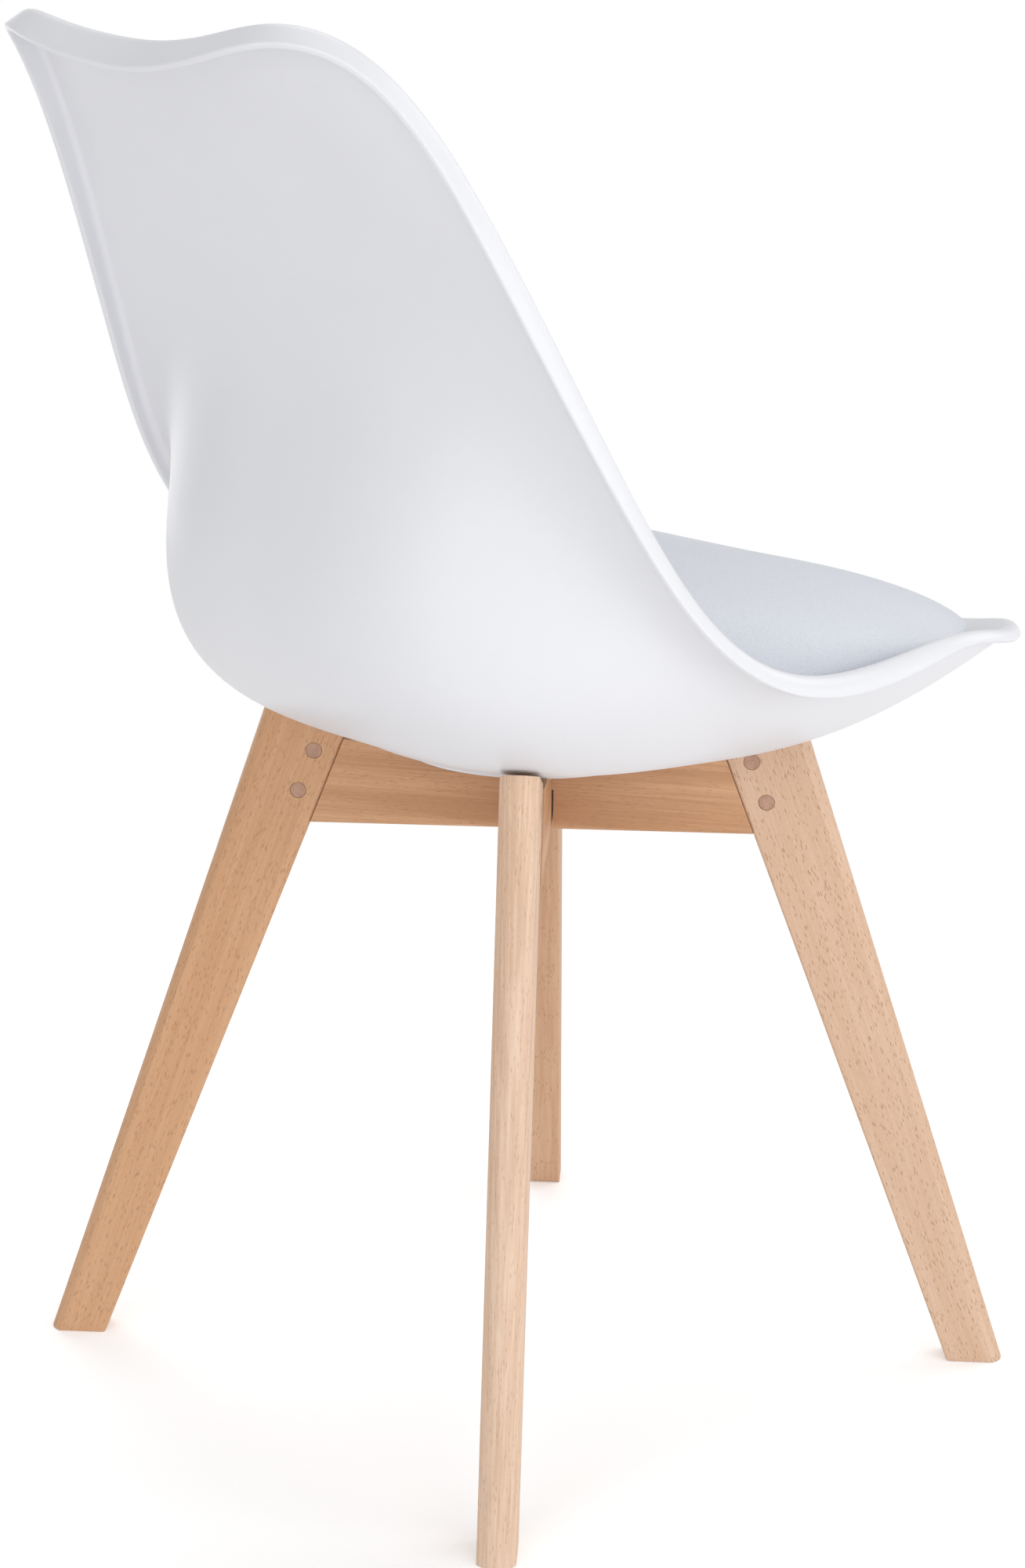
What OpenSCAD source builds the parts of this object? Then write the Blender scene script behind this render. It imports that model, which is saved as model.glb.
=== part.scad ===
// Dining chair: one-piece moulded seat shell with a loose-fitted padded seat,
// on a crossed timber frame with four splayed legs. Millimetres.
// Front is -Y, the sitter's right is -X, +Z is up, and the floor is Z = 0.

/* [Position] */
// Y of the crossing of the two beams, from the middle of the chair's length
cross_y = -29.5; // [-60:0.5:60]

/* [Seat shell] */
// Wall of the moulded shell
shell_wall = 4.5; // [3:0.1:7]
// Centre line of the underside from front to top, as [Y, Z] from the crossing
spine = [[-266, 462], [-146, 433], [-72, 391], [7, 395], [112, 398], [199, 444],
         [215, 522], [181, 611], [181, 696], [227, 774], [315, 836]];
// The same line at the side of the shell
flank = [[-260, 514], [-184, 477], [-133, 458], [-94, 460], [-46, 462], [14, 464],
         [61, 482], [99, 527], [137, 601], [182, 702], [186, 846]];
// Distance of the side line from the middle plane
flank_x = 220; // [180:5:260]
// How squarely the cross-section turns up, from front to top
squareness = [4.75, 3.7, 2.8, 2.4];
// Edge of the shell, right half, as [X, fraction of the way from front to top]
edge = [[0, 0.030], [60, 0.030], [125, 0.032], [176, 0.041], [211, 0.086],
        [231, 0.164], [237, 0.302], [235, 0.517], [222, 0.708], [200.5, 0.792],
        [172, 0.888], [144.5, 0.966], [108.5, 0.980], [62, 0.962], [0, 0.949]];
// Inside radius of the bend of the lip, from front to top
lip_radius = [2, 2, 2.5, 4, 4.5, 3.5, 3];
// Angle the lip bends through, from front to top
lip_turn = [115, 107, 100, 105, 100, 85, 78];
// Width of the lip's flat flange past the bend, from front to top
lip_flange = [2, 1.5, 1, 1.5, 4, 10, 16];

/* [Hub] */
// Height of the hub's underside, which sits on the beams
hub_z = 390; // [380:1:400]
// Height of the flat underside of the shell above the hub
flat_z = 395.5; // [392:0.5:400]
// Radius of the hub's skirt
hub_r = 79.5; // [60:0.5:100]
// Wall of the hub's skirt
hub_wall = 3; // [2:0.5:5]
// Radius of the inner ring
hub_ring = 60; // [30:1:70]
// Radius of each screw boss
boss_r = 9; // [7:0.5:12]
// Radius at which the shell stops being flat
flat_r = 120; // [100:1:140]

/* [Seat pad] */
// Height of the middle of the pad
pad_top = 514; // [490:1:530]
// Height of the pad's edge above the shell
pad_side = 5; // [4:0.5:15]
// How flat the crown of the pad is
pad_flat = 3; // [1.5:0.1:10]
// How full the side of the pad is
pad_full = 1.3; // [1:0.05:2]
// Edge of the pad, right half, as [X, fraction of the way from front to top]
pad_edge = [[0, 0.049], [70, 0.049], [130, 0.049], [169, 0.058], [200, 0.098],
            [218, 0.170], [223, 0.290], [213, 0.400], [177, 0.476], [90, 0.500],
            [0, 0.504]];
// Thickness of the cover
cover_t = 1.5; // [0.8:0.1:3]
// Thickness of the base pan under the foam
pan_t = 2.5; // [2:0.1:5]
// Clearance between the pan and the shell
pan_gap = 0.3; // [0.1:0.1:1]
// Clearance between the cover, the foam and the pan
skin_gap = 0.2; // [0.1:0.1:1]
// How far out the base pan reaches, as a fraction of the pad
pan_reach = 0.8; // [0.6:0.01:0.95]

/* [Legs] */
// Distance of a foot's outer edge from the crossing
foot_r = 302; // [280:1:320]
// Lean of the outer edge, inwards per unit of height
outer_lean = 0.338; // [0.2:0.001:0.5]
// Width of a foot on the floor
foot_w = 35; // [25:0.5:50]
// Lean of the inner edge, inwards per unit of height
inner_lean = 0.388; // [0.2:0.001:0.5]
// Height of the outer corner of a leg's top
leg_top = 414; // [400:0.5:420]
// Slope of the leg's top
top_slope = 0.365; // [0:0.005:0.6]
// Thickness of a leg at the top
leg_t = 22.5; // [18:0.5:35]
// Thickness of a leg at the foot
foot_t = 22; // [15:0.5:35]
// Depth of the rounding of the outer edge
outer_round = 6.5; // [2:0.5:10]
// Radius of the inner edge's corners
inner_round = 2; // [1:0.5:5]
// Corner rounding at the foot, outer
foot_round = 1; // [0.5:0.5:12]
// Bevel at the inner corner of the foot
heel_cut = 1; // [0.5:0.1:5]

/* [Beams] */
// Height of the beams' underside
beam_z = 341; // [320:1:360]
// Thickness of a beam
beam_t = 24.5; // [18:0.5:35]
// Height of a beam's top where it meets the leg
shoulder_z = 394; // [390:0.5:400]
// Chamfer of the beams' long edges
beam_arris = 1.5; // [0.5:0.5:4]
// Clearance on each side of the halving joint
lap_gap = 1; // [0.1:0.1:2]
// Thickness of the tongue that enters a leg
tongue_t = 9.8; // [6:0.1:14]
// Width of the slot in a leg
slot_t = 10; // [6:0.1:14]
// How far a tongue reaches into a leg
tongue_l = 32; // [20:1:40]
// Clearance at the end and the bottom of the slot
slot_gap = 0.5; // [0.2:0.1:2]
// Height of the underside of the tongue
tongue_z = 349; // [343:1:356]

/* [Dowels] */
// Diameter of a dowel
dowel_d = 10; // [6:0.5:14]
// Radial clearance of a dowel in its hole
dowel_gap = 0.05; // [0.02:0.01:0.2]
// Heights of the two dowels in each leg
dowel_z = [361, 386];
// Distance of the dowels from the leg's inner edge, along the radius
dowel_in = 15; // [10:0.5:25]

/* [Screws] */
// Distance of the screws from the crossing
screw_r = 48; // [30:1:60]
// Screw size, M6
screw_d = 6; // [5:0.5:8]
// Length of a screw under its head
screw_l = 45; // [30:5:60]
// Head diameter
head_d = 10.5; // [9:0.5:14]
// Head height
head_h = 3.3; // [2:0.1:6]
// Width across the hexagon socket
socket_af = 4; // [3:0.5:6]
// Flat washer diameter
washer_d = 14; // [12:0.5:18]
// Flat washer thickness
washer_t = 1.6; // [1:0.1:3]
// Spring washer diameter
spring_d = 11; // [9:0.5:14]
// Spring washer thickness
spring_t = 1.5; // [1:0.1:3]
// Gap in the ring of a spring washer
spring_cut = 1.2; // [0.5:0.1:2]
// Diameter of the recess in a beam's underside
recess_d = 17; // [15:0.5:22]
// Diameter of the screw's hole in a beam
clear_d = 7; // [6:0.5:9]
// Diameter of a threaded insert
insert_d = 9; // [8:0.5:12]
// Length of a threaded insert
insert_l = 7.5; // [5:0.5:9]
// Clearance round an insert and a screw
fit_gap = 0.05; // [0.02:0.01:0.2]

/* [Hidden] */
$fn = 48;
// directions of the legs, as angles in plan from +X
rear_left = 45;
rear_right = 135;
front_right = 225;
front_left = 315;
// the screw's underhead face, from where its tip stops short of the insert's end
tip_z = hub_z + insert_l - 0.7;
seat_z = tip_z - screw_l;
recess_z = seat_z + spring_t + washer_t;
lap_z = (beam_z + hub_z) / 2;
// a height above the legs, to cut through to
over_z = 1.05 * leg_top;
insert_z = hub_z + 0.2;
r_out = function(z) foot_r - outer_lean * z;
r_in = function(z) foot_r - foot_w - inner_lean * z;
z_top = function(r) leg_top + (r - r_out(leg_top)) * top_slope;
leg_thick = function(z) foot_t + (leg_t - foot_t) * z / leg_top;

// ---- curves and surfaces ----
function cubic(a, b, c, d, t) = (pow(1 - t, 3) * a + (3 * pow(t, 3) - 6 * t * t + 4) * b
    + (-3 * pow(t, 3) + 3 * t * t + 3 * t + 1) * c + pow(t, 3) * d) / 6;
// open curve through its first and last points
function open_curve(c, u) =
    let (n = len(c) - 1, x = min(max(u, 0), 1) * n, i = min(floor(x), n - 1))
    cubic(i == 0 ? 2 * c[0] - c[1] : c[i - 1], c[i], c[i + 1],
          i == n - 1 ? 2 * c[n] - c[n - 1] : c[i + 2], x - i);
// closed curve, mirrored from its right half
function mirrored(h) = concat(h, [for (i = [len(h) - 2:-1:1]) [-h[i][0], h[i][1]]]);
function ring_curve(c, s) =
    let (n = len(c), x = s * n, i = floor(x))
    cubic(c[(i + n - 1) % n], c[i % n], c[(i + 1) % n], c[(i + 2) % n], x - i);
// underside of the shell at a distance p from the middle plane and fraction u
function under(p, u) =
    let (c = open_curve(spine, u), s = open_curve(flank, u),
         k = pow(abs(p) / flank_x, open_curve(squareness, u)),
         q = c + (s - c) * k,
         t = min(max((norm([p, q[0]]) - 1.025 * hub_r) / (flat_r - hub_r), 0), 1),
         b = q[1] < 1.13 * hub_z ? t * t * (3 - 2 * t) : 1)
    [p, q[0], flat_z + (q[1] - flat_z) * b];
function unit(v) = v / norm(v);
function up_normal(p, u) = unit(cross(under(p + 1, u) - under(p - 1, u),
                                      under(p, u + 0.004) - under(p, u - 0.004)));
// points of a closed surface made of rings, then its faces
function ring_faces(rings, n) = concat(
    [for (j = [0:n - 1]) [0, 1 + (j + 1) % n, 1 + j]],
    [for (i = [0:rings - 2], j = [0:n - 1], f = [0, 1])
        let (a = 1 + i * n + j, b = 1 + i * n + (j + 1) % n)
        f == 0 ? [a, b, b + n] : [a, b + n, a + n]],
    [for (j = [0:n - 1]) [1 + rings * n, 1 + (rings - 1) * n + j,
                          1 + (rings - 1) * n + (j + 1) % n]]);

// ---- the shell ----
shell_n = 96;
shell_rings = 14;
lip_steps = 5;
shell_mid = 0.42;
shell_dom = [for (j = [0:shell_n - 1]) ring_curve(mirrored(edge), j / shell_n)];
shell_rim = [for (g = shell_dom) under(g[0], g[1])];
shell_nrm = [for (g = shell_dom) up_normal(g[0], g[1])];
shell_out = [for (j = [0:shell_n - 1])
    unit(cross(shell_rim[(j + 1) % shell_n] - shell_rim[(j + shell_n - 1) % shell_n],
               shell_nrm[j]))];
function toward_top(j) = 1 - abs(1 - 2 * j / shell_n);
lip_r = [for (j = [0:shell_n - 1]) open_curve(lip_radius, toward_top(j))];
lip_a = [for (j = [0:shell_n - 1]) open_curve(lip_turn, toward_top(j))];
lip_f = [for (j = [0:shell_n - 1]) open_curve(lip_flange, toward_top(j))];
// a point at radius r and angle a of the bend, then a distance f along the flange
function lip_point(j, r, a, f) = shell_rim[j] - lip_r[j] * shell_nrm[j]
    + (r * sin(a) + f * cos(a)) * shell_out[j] + (r * cos(a) - f * sin(a)) * shell_nrm[j];
function dome(g, c, k) = [g[0] * k, c + (g[1] - c) * k];
function shell_ring(k, lift) = [for (g = shell_dom)
    let (q = dome(g, shell_mid, k)) under(q[0], q[1]) + lift * up_normal(q[0], q[1])];

module shell_skin() {
    pts = concat(
        [under(0, shell_mid) + shell_wall * up_normal(0, shell_mid)],
        [for (i = [1:shell_rings - 1]) each shell_ring(i / shell_rings, shell_wall)],
        [for (k = [0:lip_steps], j = [0:shell_n - 1])
            lip_point(j, lip_r[j] + shell_wall, lip_a[j] * k / lip_steps, 0)],
        // the flange and its rounded end, from the outer face to the inner
        [for (e = [[1, 0], [0.8, 0.4], [0.2, 0.4], [0, 0]], j = [0:shell_n - 1])
            lip_point(j, lip_r[j] + e[0] * shell_wall, lip_a[j],
                      lip_f[j] + e[1] * shell_wall)],
        [for (k = [lip_steps:-1:0], j = [0:shell_n - 1])
            lip_point(j, lip_r[j], lip_a[j] * k / lip_steps, 0)],
        [for (i = [shell_rings - 1:-1:1]) each shell_ring(i / shell_rings, 0)],
        [under(0, shell_mid)]);
    rings = 2 * (shell_rings - 1) + 2 * (lip_steps + 1) + 4;
    polyhedron(pts, ring_faces(rings, shell_n), convexity = 8);
}

module at_screws() {
    for (a = [rear_left, rear_right, front_right, front_left])
        rotate([0, 0, a]) translate([screw_r, 0, 0]) children();
}

module tube(z0, z1, r, w) {
    translate([0, 0, z0]) difference() {
        cylinder(h = z1 - z0, r = r, $fn = 96);
        translate([0, 0, -1]) cylinder(h = z1 - z0 + 2, r = r - w, $fn = 96);
    }
}

module seat_shell() {
    join_z = flat_z + shell_wall / 2;
    color([0.93, 0.93, 0.94]) translate([0, cross_y, 0]) difference() {
        union() {
            shell_skin();
            tube(hub_z, join_z, hub_r, hub_wall);
            tube(hub_z, join_z, hub_ring, 2.5);
            at_screws() translate([0, 0, hub_z]) cylinder(h = join_z - hub_z, r = boss_r);
            for (a = [0, 45, 90, 135]) rotate([0, 0, a])
                translate([-(hub_r - 1), -1.25, hub_z + 0.5])
                    cube([2 * (hub_r - 1), 2.5, join_z - hub_z - 0.5]);
        }
        at_screws() translate([0, 0, hub_z - 1])
            cylinder(h = insert_l + 1.5, r = insert_d / 2 + fit_gap);
    }
}

// ---- the pad ----
pad_n = 56;
pad_rings = 12;
pad_mid = 0.27;
pad_dom = [for (j = [0:pad_n - 1]) ring_curve(mirrored(pad_edge), j / pad_n)];
// rings crowd towards the edge
function pad_k(i) = 1 - pow(1 - i / pad_rings, 1.8);
function pad_low(g, k, lift) = let (q = dome(g, pad_mid, k))
    under(q[0], q[1]) + (shell_wall + lift) * up_normal(q[0], q[1]);
// the crown falls from the middle to the pad's edge, which follows the shell
function pad_high(g, k, sink) =
    let (b = pad_low(g, k, pan_gap), e = pad_low(g, 1, pan_gap)[2] + pad_side,
         h = pow(1 - pow(min(k, 1), pad_flat), 1 / pad_full))
    [b[0], b[1], e + (pad_top - e) * h - sink];

// a body between a lower and an upper set of rings, both out to a fraction reach
module pad_body(lift, sink, reach) {
    pts = concat(
        [let (b = pad_low([0, pad_mid], 0, lift)) [b[0], b[1], pad_top - sink]],
        [for (i = [1:pad_rings], g = pad_dom) pad_high(g, pad_k(i) * reach, sink)],
        [for (i = [pad_rings:-1:1], g = pad_dom) pad_low(g, pad_k(i) * reach, lift)],
        [pad_low([0, pad_mid], 0, lift)]);
    polyhedron(pts, ring_faces(2 * pad_rings, pad_n), convexity = 6);
}

module pan_body(lift, top, reach) {
    pts = concat(
        [pad_low([0, pad_mid], 0, top)],
        [for (i = [1:pad_rings], g = pad_dom) pad_low(g, pad_k(i) * reach, top)],
        [for (i = [pad_rings:-1:1], g = pad_dom) pad_low(g, pad_k(i) * reach, lift)],
        [pad_low([0, pad_mid], 0, lift)]);
    polyhedron(pts, ring_faces(2 * pad_rings, pad_n), convexity = 6);
}

// mean half width of the pad, and the fraction of it taken up by the cover at the edge
pad_half = 0.86 * pad_edge[6][0];
cover_k = 1 - cover_t / pad_half;

module seat_pad_cover() {
    pts = concat(
        [let (b = pad_low([0, pad_mid], 0, pan_gap)) [b[0], b[1], pad_top]],
        [for (i = [1:pad_rings], g = pad_dom) pad_high(g, pad_k(i), 0)],
        [for (g = pad_dom) pad_low(g, 1, pan_gap)],
        [for (g = pad_dom) pad_low(g, cover_k, pan_gap)],
        [for (i = [pad_rings:-1:1], g = pad_dom) pad_high(g, pad_k(i) * cover_k, cover_t)],
        [let (b = pad_low([0, pad_mid], 0, pan_gap)) [b[0], b[1], pad_top - cover_t]]);
    color([0.85, 0.86, 0.89]) translate([0, cross_y, 0])
        polyhedron(pts, ring_faces(2 * pad_rings + 2, pad_n), convexity = 6);
}

module seat_pad_foam() {
    foam_k = cover_k - skin_gap / pad_half;
    color([0.93, 0.90, 0.80]) translate([0, cross_y, 0])
        pad_body(pan_gap + pan_t + skin_gap, cover_t + skin_gap, foam_k);
}

module seat_pad_pan() {
    color([0.25, 0.25, 0.26]) translate([0, cross_y, 0])
        pan_body(pan_gap, pan_gap + pan_t, pan_reach);
}

// ---- the frame ----
// corner filler to take away, at the origin between +X and +Y, of radius r
module corner_cut(r) {
    difference() {
        translate([-1, -1]) square([r + 1, r + 1]);
        translate([r, r]) circle(r = r, $fn = 64);
    }
}

// stands a drawing of (distance, height) up and gives it a thickness along Y
module stand(t) {
    rotate([90, 0, 0]) translate([0, 0, -t / 2]) linear_extrude(t) children();
}

// side view of a leg
module leg_side() {
    difference() {
        polygon([[r_in(0) + heel_cut, 0], [r_out(0), 0], [r_out(leg_top), leg_top],
                 [r_in(leg_inner_top), leg_inner_top], [r_in(heel_cut), heel_cut]]);
        translate([r_out(0), 0]) rotate(90) corner_cut(foot_round);
    }
}
// height of the inner corner of a leg's top: where its top line crosses its inner edge
leg_inner_top = (leg_top + (foot_r - foot_w - r_out(leg_top)) * top_slope)
                / (1 + inner_lean * top_slope);

// cross-section swept along the outer edge: a rounded nose
module nose_section() {
    r = (pow(leg_t / 2, 2) + pow(outer_round, 2)) / (2 * outer_round);
    intersection() {
        translate([-r, 0]) circle(r = r, $fn = 96);
        translate([-foot_r, -leg_t]) square([2 * foot_r, 2 * leg_t]);
    }
    translate([-4 * foot_w, -leg_t / 2]) square([4 * foot_w - outer_round, leg_t]);
}

module leg_body() {
    intersection() {
        stand(leg_t + 2) leg_side();
        // taper in thickness
        rotate([90, 0, 90]) linear_extrude(1.3 * foot_r)
            polygon([[-leg_thick(-leg_t) / 2, -leg_t], [leg_thick(-leg_t) / 2, -leg_t],
                     [leg_thick(over_z) / 2, over_z], [-leg_thick(over_z) / 2, over_z]]);
        // rounded outer edge
        translate([foot_r, 0, 0]) multmatrix([[1, 0, -outer_lean, 0], [0, 1, 0, 0],
                                              [0, 0, 1, 0], [0, 0, 0, 1]])
            translate([0, 0, -leg_t]) linear_extrude(over_z + leg_t) nose_section();
        // softened inner corners
        translate([foot_r - foot_w, 0, 0]) multmatrix([[1, 0, -inner_lean, 0],
                                                       [0, 1, 0, 0],
                                                       [0, 0, 1, 0], [0, 0, 0, 1]])
            translate([0, 0, -leg_t]) linear_extrude(over_z + leg_t) difference() {
                translate([0, -leg_t]) square([foot_r, 2 * leg_t]);
                translate([0, -foot_t / 2 - (leg_t - foot_t) / 4]) corner_cut(inner_round);
                translate([0, foot_t / 2 + (leg_t - foot_t) / 4]) mirror([0, 1])
                    corner_cut(inner_round);
            }
    }
}

// position of a dowel in the plane of a leg
function dowel_at(z) = [r_in(z) + dowel_in, z];

module dowel_holes(t) {
    for (z = dowel_z) translate([dowel_at(z)[0], t / 2, z]) rotate([90, 0, 0])
        cylinder(h = t, d = dowel_d);
}

// outline of the slot: open at the top and towards the beam
module slot_side() {
    z0 = tongue_z - slot_gap;
    polygon([[r_in(z0) - leg_t, z0], [r_in(z0) + tongue_l + slot_gap, z0],
             [r_in(over_z) + tongue_l + slot_gap, over_z], [r_in(over_z) - leg_t, over_z]]);
}

module leg(a) {
    color([0.80, 0.64, 0.50]) translate([0, cross_y, 0]) rotate([0, 0, a]) difference() {
        leg_body();
        stand(slot_t) slot_side();
        dowel_holes(leg_t + 10);
    }
}

// side view of one half of a beam
module beam_half_side() {
    polygon([[0, beam_z], [r_in(beam_z), beam_z], [r_in(shoulder_z), shoulder_z],
             [1.06 * hub_r, hub_z], [0, hub_z]]);
}

module tongue_side() {
    // top of the tongue follows the leg's top, a little below it
    za = z_top(r_in(shoulder_z)) - 1.5;
    rb = r_in(0.978 * leg_top) + tongue_l;
    polygon([[r_in(tongue_z) - 3, tongue_z], [r_in(tongue_z) + tongue_l, tongue_z],
             [rb, z_top(rb) - 1.5], [r_in(shoulder_z), min(za, shoulder_z)],
             [r_in(shoulder_z) - 3, shoulder_z - 2]]);
}

// long prism with chamfered edges, to trim the beam's body
module beam_trim() {
    h = over_z - beam_z;
    rotate([90, 0, 90]) translate([0, 0, -foot_r]) linear_extrude(2 * foot_r)
        polygon([[-beam_t / 2 + beam_arris, beam_z], [beam_t / 2 - beam_arris, beam_z],
                 [beam_t / 2, beam_z + beam_arris], [beam_t / 2, beam_z + h],
                 [-beam_t / 2, beam_z + h], [-beam_t / 2, beam_z + beam_arris]]);
}

module beam_solid() {
    intersection() {
        beam_trim();
        stand(beam_t + 2) union() {
            beam_half_side();
            mirror([1, 0]) beam_half_side();
        }
    }
    stand(tongue_t) union() {
        tongue_side();
        mirror([1, 0]) tongue_side();
    }
}

// a beam along direction a, with the notch of the halving joint cut from z0 to z1
module beam(a, z0, z1) {
    w = beam_t + 2 * lap_gap;
    color([0.76, 0.60, 0.46]) translate([0, cross_y, 0]) rotate([0, 0, a]) difference() {
        beam_solid();
        translate([-w / 2, -beam_t, z0]) cube([w, 2 * beam_t, z1 - z0]);
        for (s = [-1, 1]) translate([s * screw_r, 0, 0]) {
            translate([0, 0, beam_z - 5]) cylinder(h = over_z - beam_z, d = clear_d);
            translate([0, 0, beam_z - 5]) cylinder(h = recess_z - beam_z + 5, d = recess_d);
        }
        for (m = [0, 1]) mirror([m, 0, 0]) dowel_holes(leg_t + 10);
    }
}

module beam_upper() beam(rear_left, beam_z - 1, lap_z);
module beam_lower() beam(rear_right, lap_z, hub_z + 10);

module leg_rear_left() leg(rear_left);
module leg_rear_right() leg(rear_right);
module leg_front_left() leg(front_left);
module leg_front_right() leg(front_right);

module dowels(a) {
    color([0.70, 0.52, 0.42]) translate([0, cross_y, 0]) rotate([0, 0, a])
        for (z = dowel_z) let (l = leg_thick(z))
            translate([dowel_at(z)[0], l / 2, z]) rotate([90, 0, 0])
                cylinder(h = l, d = dowel_d - 2 * dowel_gap);
}
module dowels_rear_left() dowels(rear_left);
module dowels_rear_right() dowels(rear_right);
module dowels_front_left() dowels(front_left);
module dowels_front_right() dowels(front_right);

// ---- fastenings ----
module frame_screws() {
    color([0.62, 0.63, 0.65]) translate([0, cross_y, 0]) at_screws() difference() {
        union() {
            translate([0, 0, seat_z]) cylinder(h = screw_l, d = screw_d - 2 * fit_gap);
            translate([0, 0, seat_z - head_h]) cylinder(h = head_h, d1 = head_d * 0.8,
                                                        d2 = head_d);
        }
        translate([0, 0, seat_z - head_h - 1])
            cylinder(h = head_h, d = socket_af / cos(30), $fn = 6);
    }
}

module spring_washers() {
    color([0.55, 0.56, 0.58]) translate([0, cross_y, 0]) at_screws()
        translate([0, 0, seat_z]) difference() {
            cylinder(h = spring_t, d = spring_d);
            translate([0, 0, -1]) cylinder(h = spring_t + 2, d = screw_d + 4 * fit_gap);
            translate([0, -spring_cut / 2, -1]) cube([spring_d, spring_cut, spring_t + 2]);
        }
}

module flat_washers() {
    color([0.66, 0.67, 0.69]) translate([0, cross_y, 0]) at_screws()
        translate([0, 0, seat_z + spring_t]) difference() {
            cylinder(h = washer_t, d = washer_d);
            translate([0, 0, -1]) cylinder(h = washer_t + 2, d = screw_d + 0.4);
        }
}

module threaded_inserts() {
    color([0.78, 0.66, 0.38]) translate([0, cross_y, 0]) at_screws()
        translate([0, 0, insert_z]) difference() {
            cylinder(h = insert_l, d = insert_d - 2 * fit_gap);
            translate([0, 0, -1]) cylinder(h = insert_l + 2, d = screw_d + 2 * fit_gap);
        }
}

seat_shell();
seat_pad_cover();
seat_pad_foam();
seat_pad_pan();
beam_upper();
beam_lower();
leg_rear_left();
leg_rear_right();
leg_front_left();
leg_front_right();
dowels_rear_left();
dowels_rear_right();
dowels_front_left();
dowels_front_right();
frame_screws();
spring_washers();
flat_washers();
threaded_inserts();
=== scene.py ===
"""Dining chair: a white moulded seat shell with a leather-look pad on a crossed beech frame.

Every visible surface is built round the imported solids, in metres, in the frame's own axes:
the sitter faces -Y, the sitter's right is -X, +Z is up and the floor is Z = 0.
"""

import logging
import math
from dataclasses import dataclass, field
from enum import Enum

import bmesh
import bpy
import numpy as np
from mathutils import Matrix, Vector


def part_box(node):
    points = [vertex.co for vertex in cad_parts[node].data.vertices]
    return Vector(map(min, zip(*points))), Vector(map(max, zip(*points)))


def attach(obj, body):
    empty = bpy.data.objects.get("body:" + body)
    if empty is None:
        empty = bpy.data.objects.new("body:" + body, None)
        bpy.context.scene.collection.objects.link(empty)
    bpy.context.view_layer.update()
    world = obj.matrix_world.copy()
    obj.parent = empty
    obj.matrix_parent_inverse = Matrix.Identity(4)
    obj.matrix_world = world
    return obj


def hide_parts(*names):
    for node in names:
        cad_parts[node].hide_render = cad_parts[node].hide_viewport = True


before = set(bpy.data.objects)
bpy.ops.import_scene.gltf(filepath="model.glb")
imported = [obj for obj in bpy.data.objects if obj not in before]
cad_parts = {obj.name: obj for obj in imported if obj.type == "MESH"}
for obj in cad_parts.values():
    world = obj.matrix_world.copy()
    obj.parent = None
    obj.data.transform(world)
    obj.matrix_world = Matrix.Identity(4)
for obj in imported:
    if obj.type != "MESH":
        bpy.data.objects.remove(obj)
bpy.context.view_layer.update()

LOG = logging.getLogger("dining_chair")
MM = 0.001
Array = np.ndarray
Colour = tuple[float, float, float]
Socket = bpy.types.NodeSocket
Material = bpy.types.Material
Mesh = bpy.types.Mesh
Thing = bpy.types.Object


# ---- names
class Slot(Enum):
    """Names of the record's material slots. No piece in this script is given one."""

    SHELL = "shell"
    PAD_COVER = "pad_cover"
    PAD_FOAM = "pad_foam"
    PAD_PAN = "pad_pan"
    BEECH = "beech"
    DOWEL = "dowel"


class Corner(Enum):
    """A leg's place: the suffix of its nodes, and its direction in plan from +X in degrees."""

    REAR_LEFT = ("rear_left", 45.0)
    REAR_RIGHT = ("rear_right", 135.0)
    FRONT_RIGHT = ("front_right", 225.0)
    FRONT_LEFT = ("front_left", 315.0)

    @property
    def suffix(self) -> str:
        """The end of the names of the leg and of its dowels."""
        return self.value[0]

    @property
    def angle(self) -> float:
        """The leg's direction in plan, in radians."""
        return math.radians(self.value[1])


# ---- curves and meshes
def cubic_weights(t: Array) -> Array:
    """Weights of four control points at t from 0 to 1 on a span of a uniform cubic B-spline.

    Args:
        t: places on the span, any shape.

    Returns:
        Weights with one more axis of four.
    """
    return np.stack([(1 - t) ** 3, 3 * t**3 - 6 * t**2 + 4,
                     -3 * t**3 + 3 * t**2 + 3 * t + 1, t**3], -1) / 6


def open_curve(points: Array, u: Array) -> Array:
    """Uniform cubic B-spline through its own first and last control points.

    Args:
        points: control points, (n, d).
        u: places from 0 to 1, any shape.

    Returns:
        Points, u's shape and d.
    """
    ends = [2 * points[:1] - points[1:2], points, 2 * points[-1:] - points[-2:-1]]
    padded = np.concatenate(ends)
    x = np.clip(u, 0, 1) * (len(points) - 1)
    i = np.minimum(np.floor(x).astype(int), len(points) - 2)
    return np.einsum("...k,...kd->...d", cubic_weights(x - i), padded[i[..., None] + np.arange(4)])


def closed_curve(points: Array, s: Array) -> Array:
    """Closed uniform cubic B-spline, once round as s goes from 0 to 1.

    Args:
        points: control points, (n, d).
        s: places, any shape.

    Returns:
        Points, s's shape and d.
    """
    x = s * len(points)
    i = np.floor(x).astype(int)
    near = (i[..., None] + np.arange(-1, 3)) % len(points)
    return np.einsum("...k,...kd->...d", cubic_weights(x - i), points[near])


def mirrored(half: Array) -> Array:
    """A right half of (x, fraction) points and its mirror image, as one closed run."""
    return np.concatenate([half, half[-2:0:-1] * [-1, 1]])


def unit(v: Array) -> Array:
    """Vectors along the last axis made one unit long."""
    return v / np.linalg.norm(v, axis=-1, keepdims=True)


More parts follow.
